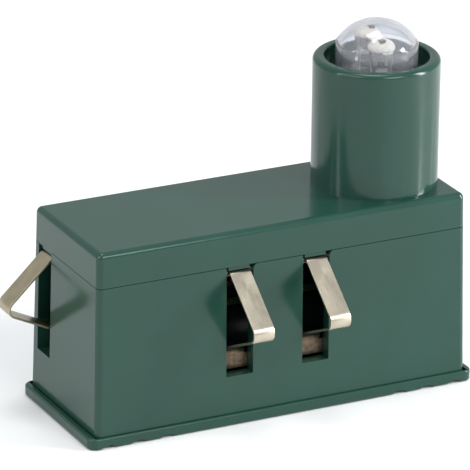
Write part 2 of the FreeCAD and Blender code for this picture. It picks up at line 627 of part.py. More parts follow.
def contact_spine(sketch, face, reach, level, nose, crest, foot_level, elbow_name):
    """Centreline of a strip: tail, elbow, return leg, nose, leg, crest, curl."""
    edge = size(face) / 2.0
    gauge = size("strip_gauge")
    tail_x = -edge + size("wall") + size("tail_play") + gauge / 2.0
    elbow_r = size("elbow_radius")
    nose_r = size(nose)
    crest_r = size("crest_radius")
    curl_r = size("pin_radius") + size("pin_play") + gauge / 2.0
    elbow = Vector(tail_x - elbow_r, size(elbow_name), 0)
    tip = Vector(-edge - size(reach), size(level), 0)
    curl = Vector(-edge + size("pin_depth"), size("pin_level"), 0)
    top = size("pin_level") + curl_r
    brow = Vector(-edge - size(crest), top - crest_r, 0)
    back = tip - elbow
    back_turn = math.atan2(back.y, back.x) + math.asin((elbow_r + nose_r) / back.Length)
    leg = brow - tip
    leg_turn = math.atan2(leg.y, leg.x) - math.asin((nose_r - crest_r) / leg.Length)

    def on(centre, radius, angle):
        return centre + Vector(radius * math.cos(angle), radius * math.sin(angle), 0)

    quarter = math.pi / 2.0
    elbow_end = on(elbow, elbow_r, back_turn - quarter)
    nose_low = on(tip, nose_r, back_turn + quarter)
    nose_high = on(tip, nose_r, leg_turn + quarter)
    brow_low = on(brow, crest_r, leg_turn + quarter)
    brow_top = on(brow, crest_r, quarter)
    curl_top = on(curl, curl_r, quarter)
    foot = Vector(tail_x, size(foot_level), 0)
    line = Part.LineSegment
    normal = Vector(0, 0, 1)

    def arc(centre, radius, start, stop):
        return Part.ArcOfCircle(Part.Circle(centre, normal, radius), start, stop)

    sketch.addGeometry([
        line(foot, Vector(tail_x, elbow.y, 0)),
        arc(elbow, elbow_r, 0.0, back_turn - quarter),
        line(elbow_end, nose_low),
        arc(tip, nose_r, leg_turn + quarter, back_turn + quarter),
        line(nose_high, brow_low),
        arc(brow, crest_r, quarter, leg_turn + quarter),
        line(brow_top, curl_top),
        arc(curl, curl_r, -math.radians(150.0), quarter),
    ], False)
    joints = [(0, 2, 1, 1), (1, 2, 2, 1), (2, 2, 3, 2), (3, 1, 4, 1),
              (4, 2, 5, 2), (5, 1, 6, 1), (6, 2, 7, 2)]
    for a, a_end, b, b_end in joints:
        sketch.addConstraint(Sketcher.Constraint("Tangent", a, a_end, b, b_end))
    sketch.addConstraint(Sketcher.Constraint("Vertical", 0))
    sketch.addConstraint(Sketcher.Constraint("Horizontal", 6))
    edge_text = "-dims.%s / 2" % face
    tail_text = edge_text + " + dims.wall + dims.tail_play + dims.strip_gauge / 2"
    curl_text = "dims.pin_radius + dims.pin_play + dims.strip_gauge / 2"
    hold(sketch, "DistanceX", -1, 1, 0, 1, foot.x, tail_text)
    hold(sketch, "DistanceY", -1, 1, 0, 1, foot.y, "dims." + foot_level)
    hold(sketch, "Radius", 1, elbow_r, "dims.elbow_radius")
    hold(sketch, "DistanceY", -1, 1, 1, 3, elbow.y, "dims." + elbow_name)
    hold(sketch, "Radius", 3, nose_r, "dims." + nose)
    hold(sketch, "DistanceX", -1, 1, 3, 3, tip.x, "%s - dims.%s" % (edge_text, reach))
    hold(sketch, "DistanceY", -1, 1, 3, 3, tip.y, "dims." + level)
    hold(sketch, "Radius", 5, crest_r, "dims.crest_radius")
    hold(sketch, "DistanceX", -1, 1, 5, 3, brow.x, "%s - dims.%s" % (edge_text, crest))
    hold(sketch, "Radius", 7, curl_r, curl_text)
    hold(sketch, "DistanceX", -1, 1, 7, 3, curl.x, edge_text + " + dims.pin_depth")
    hold(sketch, "DistanceY", -1, 1, 7, 3, curl.y, "dims.pin_level")


def contact_strip(label, role, face, across, width, reach, level, nose, crest, foot_level, elbow_name):
    strip = new_body(label)
    turned = role == "XZ_Plane"
    profile = new_sketch(strip, "XY_Plane", label + "_section", "dims." + foot_level)
    near = "(-dims.%s / 2 + dims.wall + dims.tail_play)" % face
    far = near + " + dims.strip_gauge"
    low = "%s - dims.%s / 2" % (across, width)
    high = "%s + dims.%s / 2" % (across, width)
    if turned:
        add_rect(profile, near, far, low, high)
    else:
        add_rect(profile, low, high, near, far)
    spine = new_sketch(strip, role, label + "_spine", "-(%s)" % across if turned else across)
    contact_spine(spine, face, reach, level, nose, crest, foot_level, elbow_name)
    doc.recompute()
    pipe = strip.newObject("PartDesign::AdditivePipe", label + "_bend")
    pipe.Profile = profile
    pipe.Spine = spine
    profile.Visibility = False
    spine.Visibility = False
    strip.Tip = pipe
    doc.recompute()
    expected = spine.Shape.Length * size(width) * size("strip_gauge")
    if abs(pipe.Shape.Volume - expected) > 0.01 * expected:
        raise RuntimeError("%s volume %.3f, expected %.3f" % (label, pipe.Shape.Volume, expected))
    return strip


def wide_tail(strip, across):
    """Wide lower end that a side strip rests on behind the wall."""
    near = "(-dims.cover_width / 2 + dims.wall + dims.tail_play)"
    outline = new_sketch(strip, "XY_Plane", strip.Label + "_tail_outline", "dims.tail_foot")
    add_rect(outline, across + " - dims.tail_width / 2", across + " + dims.tail_width / 2",
             near, near + " + dims.strip_gauge")
    extrude(strip, "Pad", outline, strip.Label + "_tail", "dims.tail_height")


for side in ("left", "right"):
    middle = "dims.slot_" + side
    strip = contact_strip("contact_side_" + side, "YZ_Plane", "cover_width", middle, "strip_width",
                          "nose_reach", "nose_level", "nose_radius", "crest_reach",
                          "tail_foot", "elbow_level")
    wide_tail(strip, middle)
contact_strip("contact_end", "XZ_Plane", "cover_length", "dims.slot_end", "end_strip_width",
              "end_nose_reach", "end_nose_level", "end_nose_radius", "end_crest_reach",
              "end_tail_foot", "end_elbow_level")

node(rod("pin_left_rod", "dims.slot_left - dims.pin_length / 2", side_pin, "dims.pin_level",
         "dims.pin_radius", "dims.pin_length", "x"), "contact_pin_side_left")
node(rod("pin_right_rod", "dims.slot_right - dims.pin_length / 2", side_pin, "dims.pin_level",
         "dims.pin_radius", "dims.pin_length", "x"), "contact_pin_side_right")
end_pin_low = "(dims.slot_end - dims.pin_length / 2)"
node(rod("pin_end_rod", end_pin, end_pin_low, "dims.pin_level", "dims.pin_radius",
         "%s - 0.1 - %s" % (pin_back, end_pin_low), "y"), "contact_pin_end")

# ---- clear cap, lamps and lamp board ----

TX = "dims.tower_middle"
cap_foot = "(dims.lamp_board_level + dims.board_gauge)"
dome_middle = "(dims.cap_crown - dims.cap_dome)"
outer = meet("cap_outer",
             rod("cap_outer_rod", TX, "0", cap_foot, "dims.cap_radius", "dims.cap_crown - %s" % cap_foot),
             ball("cap_outer_ball", TX, "0", dome_middle, "dims.cap_dome"))
flange = rod("cap_flange_disc", TX, "0", cap_foot, "dims.cap_flange", "1")
inner = meet("cap_inner",
             rod("cap_inner_rod", TX, "0", cap_foot + " - 1", "dims.cap_radius - dims.cap_wall",
                 "dims.cap_crown - %s" % cap_foot),
             ball("cap_inner_ball", TX, "0", dome_middle, "dims.cap_dome - dims.cap_wall"))
node(cut("cap_hollowed", fuse("cap_solid", [outer, flange]), inner), "clear_cap")

LX = "(dims.tower_middle - dims.lamp_shift)"
LAMPS = [
    ("led_front", "-dims.lamp_offset", "(dims.lamp_crown - dims.lamp_stagger)"),
    ("led_back", "dims.lamp_offset", "(dims.lamp_crown + dims.lamp_stagger)"),
]
lead_half = "0.25"
leads = []
bores = []
for label, y, crown in LAMPS:
    foot = "(%s - dims.lamp_height)" % crown
    brim = rod(label + "_brim", LX, y, foot, "dims.lamp_radius + 0.4", "1")
    rounded = meet(label + "_rounded",
                   rod(label + "_stem", LX, y, foot + " + 0.5", "dims.lamp_radius",
                       "dims.lamp_height - 0.4"),
                   ball(label + "_dome", LX, y, crown + " - dims.lamp_dome", "dims.lamp_dome"))
    lower = rod(label + "_lower", LX, y, foot, "dims.lamp_radius",
                "dims.lamp_height - dims.lamp_dome")
    node(fuse(label + "_whole", [brim, lower, rounded]), label)
    for i, x in enumerate((LX + " - 1.27", LX + " + 1.27")):
        leads.append(block("%s_lead_%d" % (label, i), "%s - %s" % (x, lead_half),
                           "%s - %s" % (y, lead_half), "dims.lamp_board_level - 0.8",
                           "2 * " + lead_half, "2 * " + lead_half,
                           "%s - dims.lamp_board_level + 0.8" % foot))
        bores.append(rod("%s_lead_bore_%d" % (label, i), x, y, "dims.lamp_board_level - 1", "0.4",
                         "dims.board_gauge + 2"))
node(group("lead_set", leads), "led_leads")
disc = rod("lamp_board_disc", TX, "0", "dims.lamp_board_level", "dims.cap_flange - 0.3",
           "dims.board_gauge")
node(cut("lamp_board_drilled", disc, fuse("lead_bores", bores)), "led_board")

# Hollow post that carries the lamp board.
flare = "(dims.lamp_board_level - 4.8)"
post_outer = fuse("post_outer", [
    rod("post_stem", TX, "0", board_top, "4", "%s - %s" % (flare, board_top)),
    cone("post_flare", TX, "0", flare, "4", "7.5", "2.5"),
    rod("post_crown", TX, "0", flare + " + 2.5", "7.5", "2.3"),
])
post_inner = fuse("post_inner", [
    rod("post_bore", TX, "0", board_top + " - 1", "2.8", "%s + 1.5 - %s" % (flare, board_top)),
    cone("post_bore_flare", TX, "0", flare + " + 0.5", "2.8", "5.2", "2.5"),
    rod("post_cup", TX, "0", flare + " + 3", "5.2", "3"),
])
node(cut("post_bored", post_outer, post_inner), "led_post")

# ---- main board and its components ----

edge_x = "(%s - dims.board_gap)" % inner_x
edge_y = "(%s - dims.board_gap)" % inner_y
wide = block("board_wide", "dims.board_step", "-" + edge_y, "dims.board_level",
             "%s - dims.board_step" % edge_x, "2 * " + edge_y, "dims.board_gauge")
narrow = block("board_narrow", "dims.board_left", "dims.board_front", "dims.board_level",
               "%s - dims.board_left" % edge_x, "%s - dims.board_front" % edge_y,
               "dims.board_gauge")
board_holes = []
for i, (x, y) in enumerate([BOSSES[0], BOSSES[1], BOSSES[3]]):
    board_holes.append(rod("board_hole_%d" % i, x, y, "dims.board_level - 1",
                           "dims.screw_radius + 0.1", "dims.board_gauge + 2"))
node(cut("board_drilled", fuse("board_whole", [wide, narrow]), fuse("board_holes", board_holes)),
     "main_board")

core = block("core_block", "-8", "1.5", board_top, "16", "5.5", "13")
window_left = block("core_window_left", "-5.8", "0", board_top + " + 2.3", "3.6", "9", "8.4")
window_right = block("core_window_right", "2.2", "0", board_top + " + 2.3", "3.6", "9", "8.4")
node(cut("core_cut", core, fuse("core_windows", [window_left, window_right])), "transformer_core")
coil = block("coil_block", "-5.7", "-1.5", board_top + " + 2.4", "11.4", "11.5", "8.2")
coil_hole = block("coil_hole", "-2.3", "1.4", board_top, "4.6", "5.7", "14")
node(cut("coil_cut", coil, coil_hole), "transformer_winding")
node(block("film_a_box", "-23.5", "-1", board_top, "13", "5.5", "10.5"), "hv_capacitor_a")
node(block("film_b_box", "-23.5", "6", board_top, "13", "5.5", "10.5"), "hv_capacitor_b")
node(rod("can", "13.5", "8", board_top, "3.8", "11.5"), "electrolytic_capacitor")

chip_round = rod("chip_round", "34", "-6", board_top + " + 2.5", "2.4", "4.6")
chip_flat = block("chip_flat", "31", "-4.6", board_top, "6", "4", "9")
chip = cut("chip_body", chip_round, chip_flat)
chip_legs = []
for i, x in enumerate(("32.5", "33.775", "35.05")):
    chip_legs.append(block("chip_leg_%d" % i, x, "-6.2", board_top, "0.45", "0.4", "2.6"))
node(fuse("chip_whole", [chip] + chip_legs), "transistor")


def axial(label, x, y, radius, length):
    """Small two-lead component lying along X on the main board."""
    axis = "%s + %s + 0.3" % (board_top, radius)
    barrel = rod(label + "_barrel", x, y, axis, radius, length, "x")
    tail = rod(label + "_lead", x + " - 1.2", y, axis, "0.3", length + " + 2.4", "x")
    first = block(label + "_leg_a", x + " - 1.2", y + " - 0.3", board_top, "0.6", "0.6",
                  radius + " + 0.6")
    second = block(label + "_leg_b", "%s + %s + 0.6" % (x, length), y + " - 0.3", board_top,
                   "0.6", "0.6", radius + " + 0.6")
    return fuse(label, [barrel, tail, first, second])


node(group("diode_set", [
    axial("diode_1", "18.5", "9.5", "1.3", "5"),
    axial("diode_2", "18.5", "5.6", "1.3", "5"),
    axial("diode_3", "18.5", "-8", "1.3", "5"),
    axial("diode_4", "18.5", "-11.5", "1.3", "5"),
]), "diodes")
node(group("resistor_set", [
    axial("resistor_1", "27.5", "10", "1.1", "6"),
    axial("resistor_2", "26.5", "-8.2", "1.1", "4"),
    axial("resistor_3", "26.5", "-11.5", "1.1", "4"),
]), "resistors")

# ---- battery ----

can = rod("cell_can", "dims.cell_left", "dims.cell_side", "dims.cell_level", "dims.cell_radius",
          "dims.cell_length", "x")
nub = rod("cell_nub", "dims.cell_left", "dims.cell_side", "dims.cell_level", "dims.nub_radius",
          "dims.cell_length + dims.nub_length", "x")
node(fuse("cell_whole", [can, nub]), "battery_cell")
node(block("plus_blade", plus_face, "dims.cell_side - 4.5", "dims.body_foot + 0.05",
           "dims.terminal_gauge", "9", "14.8"), "battery_plate")

# Negative terminal: a coil spring fixed to an upright blade.
coil_wire = 0.35
coil_radius = 3.3
blade_x = size("cell_left") - 4.25
coil_start = blade_x + coil_wire * 0.8
coil_length = size("cell_left") - 0.05 - coil_wire - coil_start
helix = Part.makeHelix(coil_length / 3.0, coil_length, coil_radius)
section = Part.Wire([Part.Circle(Vector(coil_radius, 0, 0), Vector(0, 1, 0), coil_wire).toShape()])
coil_shape = Part.Wire(helix.Edges).makePipeShell([section], True, True)
coil_shape.Placement = Placement(
    Vector(coil_start, size("cell_side"), size("cell_level")), Rotation(Vector(0, 1, 0), 90))
blade = Part.makeBox(size("terminal_gauge"), 9.0, 14.8,
                     Vector(blade_x - size("terminal_gauge"), size("cell_side") - 4.5,
                            size("body_foot") + 0.05))
spring = doc.addObject("Part::Feature", "spring_shape")
spring.Shape = blade.fuse(coil_shape)
spring.Placement = Placement(Vector(0, 0, 0), Rotation())
node(spring, "battery_spring")

# ---- wires ----

deck = size("board_level") + size("board_gauge")
under = size("board_level")
pin_z = size("pin_level")
pin_y = -size("cover_width") / 2.0 + size("pin_depth")
pin_x = -size("cover_length") / 2.0 + size("pin_depth")


def side_wire(label, slot):
    start = size(slot) + size("pin_length") / 2.0
    wire_node(label, [[
        Vector(start, pin_y, pin_z),
        Vector(start + 2.4, pin_y, pin_z),
        Vector(start + 2.4, pin_y, 27.0),
        Vector(start + 2.4, size("board_front") + 1.5, 27.0),
        Vector(start + 2.4, size("board_front") + 1.5, deck),
    ]])


side_wire("contact_wire_side_left", "slot_left")
side_wire("contact_wire_side_right", "slot_right")
end_start = size("slot_end") - size("pin_length") / 2.0
wire_node("contact_wire_end", [[
    Vector(pin_x, end_start, pin_z),
    Vector(pin_x, end_start - 2.4, pin_z),
    Vector(size("board_left") + 2.0, end_start - 2.4, pin_z),
    Vector(size("board_left") + 2.0, end_start - 2.4, deck),
]])
lamp_x = size("tower_middle")
led_runs = []
for turn in (90.0, 210.0, 330.0):
    swing = Vector(math.cos(math.radians(turn)), math.sin(math.radians(turn)), 0)
    near = Vector(lamp_x, 0, 0) + swing * 1.9
    led_runs.append([
        near + Vector(0, 0, deck),
        near + Vector(0, 0, size("lamp_board_level")),
    ])


def straight_wires(label, runs):
    shapes = []
    for low, high in runs:
        shapes.append(Part.makeCylinder(size("wire_radius"), (high - low).Length, low, high - low))
    obj = doc.addObject("Part::Feature", label)
    obj.Shape = Part.makeCompound(shapes)
    obj.Placement = Placement(Vector(0, 0, 0), Rotation())
    return node(obj, label)


straight_wires("led_wires", led_runs)
plus_x = size("cell_left") + size("cell_length") + size("nub_length") + 0.05 + size("terminal_gauge")
minus_x = blade_x - size("terminal_gauge")
mid_y = size("cell_side")
wire_node("battery_wires", [
    [Vector(plus_x, mid_y, 14.8), Vector(plus_x + 2.6, mid_y, 14.8), Vector(plus_x + 2.6, mid_y, under)],
    [Vector(minus_x, mid_y, 14.8), Vector(minus_x - 2.6, mid_y, 14.8), Vector(minus_x - 2.6, mid_y, under)],
])

# ---- final checks and export ----

doc.recompute()
for obj in doc.Objects:
    if "Invalid" in obj.State or "Error" in obj.State:
        raise RuntimeError("bad feature " + obj.Name)
os.makedirs("parts", exist_ok=True)
for obj in NODES:
    shape = obj.Shape
    if shape.isNull() or not shape.isValid() or shape.Volume <= 0:
        raise RuntimeError("bad shape " + obj.Label)
    shape.exportStep("parts/%s.step" % obj.Label)
    box = shape.BoundBox
    print("%-26s solids %d volume %9.2f  X %7.2f %7.2f  Y %7.2f %7.2f  Z %7.2f %7.2f" % (
        obj.Label, len(shape.Solids), shape.Volume, box.XMin, box.XMax,
        box.YMin, box.YMax, box.ZMin, box.ZMax))
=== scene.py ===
import math

import bmesh
import bpy
from mathutils import Matrix, Vector


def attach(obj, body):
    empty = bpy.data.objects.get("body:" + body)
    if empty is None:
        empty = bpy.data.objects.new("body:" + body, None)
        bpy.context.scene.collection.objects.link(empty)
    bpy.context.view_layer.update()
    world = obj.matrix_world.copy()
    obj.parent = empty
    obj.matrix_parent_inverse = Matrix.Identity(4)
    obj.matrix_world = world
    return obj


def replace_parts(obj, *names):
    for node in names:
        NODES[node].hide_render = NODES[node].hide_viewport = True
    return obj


MM = 0.001

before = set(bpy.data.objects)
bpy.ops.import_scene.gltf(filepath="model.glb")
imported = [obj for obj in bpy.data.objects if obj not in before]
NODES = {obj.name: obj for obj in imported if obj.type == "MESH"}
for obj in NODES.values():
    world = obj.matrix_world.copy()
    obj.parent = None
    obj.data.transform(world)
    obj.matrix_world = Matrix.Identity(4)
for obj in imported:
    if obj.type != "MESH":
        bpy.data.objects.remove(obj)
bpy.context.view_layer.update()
scene = bpy.context.scene

# ---- camera: the photograph's viewing angle ----

CAMERA_AT = Vector((-0.42475, -0.8318, 0.4006))
CAMERA_FORWARD = Vector((0.42047, 0.83057, -0.36520)).normalized()
CAMERA_UP = Vector((0.15311, 0.33179, 0.93085))
LENS_MM = 369.0
SENSOR_MM = 36.0
VIEW_REACH = 20.0


def add_camera():
    data = bpy.data.cameras.new("camera")
    data.lens = LENS_MM
    data.sensor_width = SENSOR_MM
    data.clip_end = VIEW_REACH
    obj = bpy.data.objects.new("camera", data)
    scene.collection.objects.link(obj)
    right = CAMERA_FORWARD.cross(CAMERA_UP).normalized()
    up = right.cross(CAMERA_FORWARD)
    turn = Matrix((right, up, -CAMERA_FORWARD)).transposed()
    obj.matrix_world = Matrix.Translation(CAMERA_AT) @ turn.to_4x4()
    scene.camera = obj


add_camera()

# ---- light ----


LIGHT_AIM = (0.0, 0.0, 0.04)
# name, place, (width, height), power in watts
LIGHTS = (
    ("key_left", (-0.75, -0.20, 0.60), (0.6, 0.6), 2.6),
    ("front_soft", (0.15, -0.95, 0.70), (0.55, 0.4), 5.5),
    ("strip_right", (0.62, -0.36, 0.24), (0.14, 0.6), 7.0),
    ("strip_left", (-0.80, 0.12, 0.30), (0.05, 0.6), 1.1),
    ("top_soft", (0.0, 0.1, 1.2), (0.5, 0.5), 5.0),
)
WORLD_COLOR = (0.96, 0.98, 1.0, 1.0)
WORLD_STRENGTH = 0.68


def add_area(name, at, size, power):
    data = bpy.data.lights.new(name, "AREA")
    data.shape = "RECTANGLE"
    data.size = size[0]
    data.size_y = size[1]
    data.energy = power
    obj = bpy.data.objects.new(name, data)
    scene.collection.objects.link(obj)
    away = (Vector(at) - Vector(LIGHT_AIM)).normalized()
    obj.rotation_euler = away.to_track_quat("Z", "Y").to_euler()
    obj.location = at


def add_world():
    world = bpy.data.worlds.new("studio")
    world.use_nodes = True
    background = world.node_tree.nodes["Background"]
    background.inputs["Color"].default_value = WORLD_COLOR
    background.inputs["Strength"].default_value = WORLD_STRENGTH
    scene.world = world


for light in LIGHTS:
    add_area(*light)
add_world()
scene.view_settings.view_transform = "Standard"

# ---- materials ----

# A Mix node's RGBA sockets share their names with its other sockets, so they go by number.
MIX_FIRST_COLOR = 6
MIX_SECOND_COLOR = 7
MIX_COLOR_OUT = 2
# The contact strips carry painted shade, a brown, below the first height and keep their plain
# colour above the second.
PAINTED_SHADE_LEVEL = 0.0150
UNSHADED_LEVEL = 0.0185


class Look:
    """A Principled material with helpers for object-space noise, colour, roughness and bump."""

    def __init__(self, name, color, rough, metal=0.0):
        self.material = bpy.data.materials.new(name)
        self.material.use_nodes = True
        self.tree = self.material.node_tree
        self.shader = self.tree.nodes["Principled BSDF"]
        self.put("Base Color", (*color, 1.0))
        self.put("Roughness", rough)
        self.put("Metallic", metal)
        self.coords = self.tree.nodes.new("ShaderNodeTexCoord")
        self.normal = None

    def put(self, socket, value):
        self.shader.inputs[socket].default_value = value

    def link(self, out, into):
        self.tree.links.new(out, into)

    def mapped(self, stretch):
        node = self.tree.nodes.new("ShaderNodeMapping")
        node.inputs["Scale"].default_value = stretch
        self.link(self.coords.outputs["Object"], node.inputs["Vector"])
        return node.outputs["Vector"]

    def noise(self, scale, detail=4.0, rough=0.55, stretch=(1.0, 1.0, 1.0)):
        node = self.tree.nodes.new("ShaderNodeTexNoise")
        node.inputs["Scale"].default_value = scale
        node.inputs["Detail"].default_value = detail
        node.inputs["Roughness"].default_value = rough
        self.link(self.mapped(stretch), node.inputs["Vector"])
        return node.outputs["Fac"]

    def ramp(self, source, low, high, start=0.3, stop=0.7):
        node = self.tree.nodes.new("ShaderNodeMapRange")
        node.inputs["From Min"].default_value = start
        node.inputs["From Max"].default_value = stop
        node.inputs["To Min"].default_value = low
        node.inputs["To Max"].default_value = high
        self.link(source, node.inputs["Value"])
        return node.outputs["Result"]

    def tint(self, source, dark, light, start=0.3, stop=0.7):
        color = self.colors(source, dark, light, start, stop)
        self.link(color, self.shader.inputs["Base Color"])

    def rough_from(self, source, low, high, start=0.3, stop=0.7):
        self.link(self.ramp(source, low, high, start, stop), self.shader.inputs["Roughness"])

    def bump(self, source, strength, distance):
        node = self.tree.nodes.new("ShaderNodeBump")
        node.inputs["Strength"].default_value = strength
        node.inputs["Distance"].default_value = distance
        self.link(source, node.inputs["Height"])
        if self.normal:
            self.link(self.normal, node.inputs["Normal"])
        self.normal = node.outputs["Normal"]
        self.link(self.normal, self.shader.inputs["Normal"])

    def separate(self, axis):
        node = self.tree.nodes.new("ShaderNodeSeparateXYZ")
        self.link(self.coords.outputs["Object"], node.inputs["Vector"])
        return node.outputs[axis]

    def mixed(self, mask, first, second):
        """Mix two colour sockets by a mask: 0 gives the first and 1 the second."""
        node = self.tree.nodes.new("ShaderNodeMix")
        node.data_type = "RGBA"
        self.link(mask, node.inputs["Factor"])
        self.link(first, node.inputs[MIX_FIRST_COLOR])
        self.link(second, node.inputs[MIX_SECOND_COLOR])
        return node.outputs[MIX_COLOR_OUT]

    def colors(self, source, dark, light, start=0.3, stop=0.7):
        node = self.tree.nodes.new("ShaderNodeValToRGB")
        node.color_ramp.elements[0].position = start
        node.color_ramp.elements[0].color = (*dark, 1.0)
        node.color_ramp.elements[1].position = stop
        node.color_ramp.elements[1].color = (*light, 1.0)
        self.link(source, node.inputs["Fac"])
        return node.outputs["Color"]


def shade(color, factor):
    return tuple(min(1.0, c * factor) for c in color)


def gloss_plastic(name, color, rough):
    look = Look(name, color, rough)
    slow = look.noise(45.0, 3.0)
    fine = look.noise(2600.0, 2.0)
    look.tint(slow, shade(color, 0.92), shade(color, 1.08))
    look.rough_from(look.noise(170.0, 5.0), rough * 0.85, rough * 1.25)
    look.bump(slow, 0.12, 0.0004)
    look.bump(fine, 0.05, 0.00004)
    look.put("IOR", 1.5)
    look.put("Specular IOR Level", 0.36)
    return look.material


def matte_plastic(name, color, rough):
    look = Look(name, color, rough)
    look.tint(look.noise(300.0), shade(color, 0.9), shade(color, 1.12))
    look.rough_from(look.noise(900.0), rough * 0.85, rough * 1.1)
    look.bump(look.noise(4200.0, 3.0), 0.25, 0.00006)
    return look.material


def drawn_metal(name, color, stretch, rough):
    look = Look(name, color, rough, 1.0)
    grain = look.noise(1.0, 5.0, 0.65, stretch)
    cloud = look.noise(420.0, 4.0)
    look.tint(cloud, shade(color, 0.86), shade(color, 1.1), 0.25, 0.75)
    look.rough_from(grain, rough * 0.75, rough * 1.35)
    look.bump(grain, 0.22, 0.00005)
    look.put("Anisotropic", 0.35)
    return look.material


def contact_metal(name, color, shade_brown, stretch):
    """Drawn nickel silver, with painted shade in mottled brown where the strip stands low inside
    its slot.
    """
    look = Look(name, color, 0.3, 1.0)
    grain = look.noise(1.0, 5.0, 0.65, stretch)
    cloud = look.noise(420.0, 4.0)
    bright = look.colors(cloud, shade(color, 0.86), shade(color, 1.1), 0.25, 0.75)
    # painted shade: a mottled brown for the strip low in its slot, where the wall shades it
    painted_shade = look.colors(look.noise(900.0, 5.0), shade_brown, shade(shade_brown, 2.3), 0.35, 0.7)
    mask = look.ramp(look.separate("Z"), 1.0, 0.0, PAINTED_SHADE_LEVEL, UNSHADED_LEVEL)
    look.link(look.mixed(mask, bright, painted_shade), look.shader.inputs["Base Color"])
    look.rough_from(grain, 0.26, 0.42)
    look.bump(grain, 0.22, 0.00005)
    look.put("Anisotropic", 0.35)
    return look.material


GREEN = (0.011, 0.046, 0.033)
BASE_GREEN = (0.010, 0.045, 0.031)
NICKEL = (0.50, 0.45, 0.36)
OLIVE_NICKEL = (0.42, 0.37, 0.26)
# brown painted shade for the contact strips low inside their slots
SLOT_SHADE_BROWN = (0.085, 0.065, 0.045)
STEEL = (0.56, 0.56, 0.57)
TIN = (0.72, 0.71, 0.68)
ACROSS_X = (9000.0, 260.0, 260.0)
ACROSS_Y = (260.0, 9000.0, 260.0)
ALONG_COIL = (200.0, 200.0, 5200.0)
EVEN = (2200.0, 2200.0, 2200.0)


def clear_plastic():
    look = Look("clear_plastic", (0.86, 0.88, 0.93), 0.03)
    look.put("Transmission Weight", 0.93)
    look.put("IOR", 1.47)
    look.tint(look.noise(90.0, 3.0), (0.82, 0.84, 0.90), (0.93, 0.94, 0.97))
    look.rough_from(look.noise(260.0, 4.0), 0.02, 0.08)
    look.bump(look.noise(120.0, 3.0), 0.12, 0.0004)
    return look.material


def lamp_resin():
    look = Look("lamp_plastic", (0.96, 0.95, 0.90), 0.08)
    look.put("Transmission Weight", 0.94)
    look.put("IOR", 1.35)
    look.tint(look.noise(240.0, 2.0), (0.93, 0.92, 0.86), (0.99, 0.98, 0.95))
    look.rough_from(look.noise(500.0, 3.0), 0.03, 0.12)
    look.bump(look.noise(300.0, 3.0), 0.08, 0.0002)
    return look.material


def lamp_phosphor():
    look = Look("lamp_phosphor", (0.92, 0.87, 0.74), 0.4)
    look.tint(look.noise(3200.0, 3.0), (0.74, 0.68, 0.52), (1.0, 0.96, 0.86), 0.35, 0.65)
    look.rough_from(look.noise(1500.0, 2.0), 0.3, 0.5)
    look.bump(look.noise(3600.0, 2.0), 0.5, 0.00012)
    return look.material


def lamp_mask():
    look = Look("lamp_board_mask", (0.62, 0.64, 0.70), 0.3)
    look.tint(look.noise(800.0, 4.0), (0.54, 0.56, 0.62), (0.70, 0.72, 0.77))
    look.rough_from(look.noise(1200.0), 0.22, 0.4)
    look.bump(look.noise(2600.0, 2.0), 0.15, 0.00005)
    return look.material


def circuit_board():
    look = Look("circuit_board", (0.02, 0.04, 0.02), 0.36)
    look.tint(look.noise(700.0, 6.0), (0.014, 0.030, 0.015), (0.028, 0.052, 0.026))
    look.rough_from(look.noise(1200.0), 0.25, 0.42)
    look.bump(look.noise(2500.0, 2.0, 0.5, (1.0, 0.2, 1.0)), 0.2, 0.00005)
    return look.material


# name: (colour, roughness)
GLOSSY = {
    "green_plastic": (GREEN, 0.16),
    "base_plastic": (BASE_GREEN, 0.2),
    "band_brown": ((0.10, 0.035, 0.015), 0.35),
    "band_red": ((0.40, 0.015, 0.01), 0.35),
    "band_silver": ((0.55, 0.55, 0.56), 0.3),
    "film_capacitor_case": ((0.30, 0.03, 0.015), 0.3),
    "can_sleeve": ((0.012, 0.014, 0.04), 0.25),
    "resistor_body": ((0.50, 0.36, 0.20), 0.35),
    "cell_jacket": ((0.03, 0.035, 0.045), 0.22),
}
MATTE = {
    "lamp_chip": ((0.10, 0.065, 0.04), 0.35),
    "fibre_ring": ((0.72, 0.68, 0.58), 0.6),
    "post_plastic": ((0.03, 0.03, 0.032), 0.5),
    "ferrite": ((0.05, 0.05, 0.055), 0.6),
    "chip_resin": ((0.018, 0.018, 0.02), 0.45),
    "wire_red": ((0.42, 0.015, 0.012), 0.4),
    "wire_black": ((0.012, 0.012, 0.013), 0.42),
}
# name: (colour, stretch of the grain, roughness)
METALS = {
    "pin_steel": (STEEL, EVEN, 0.28),
    "screw_steel": (STEEL, EVEN, 0.34),
    "solder": ((0.66, 0.66, 0.68), EVEN, 0.22),
    "copper_trace": ((0.60, 0.33, 0.16), EVEN, 0.3),
    "aluminium": ((0.74, 0.75, 0.76), EVEN, 0.3),
    "band_gold": ((0.62, 0.42, 0.12), EVEN, 0.35),
    "copper_coil": ((0.62, 0.25, 0.10), ALONG_COIL, 0.32),
    "tinned_copper": (TIN, EVEN, 0.3),
    "terminal_steel": ((0.63, 0.60, 0.55), EVEN, 0.3),
}
MATERIALS = {
    "nickel_x": contact_metal("nickel_strip", NICKEL, SLOT_SHADE_BROWN, ACROSS_X),
    "nickel_y": contact_metal("nickel_strip_end", OLIVE_NICKEL, SLOT_SHADE_BROWN, ACROSS_Y),
    "clear_plastic": clear_plastic(),
    "lamp_plastic": lamp_resin(),
    "lamp_phosphor": lamp_phosphor(),
    "lamp_board_mask": lamp_mask(),
    "circuit_board": circuit_board(),
}
for maker, table in ((gloss_plastic, GLOSSY), (matte_plastic, MATTE), (drawn_metal, METALS)):
    for look_name, values in table.items():
        MATERIALS[look_name] = maker(look_name, *values)

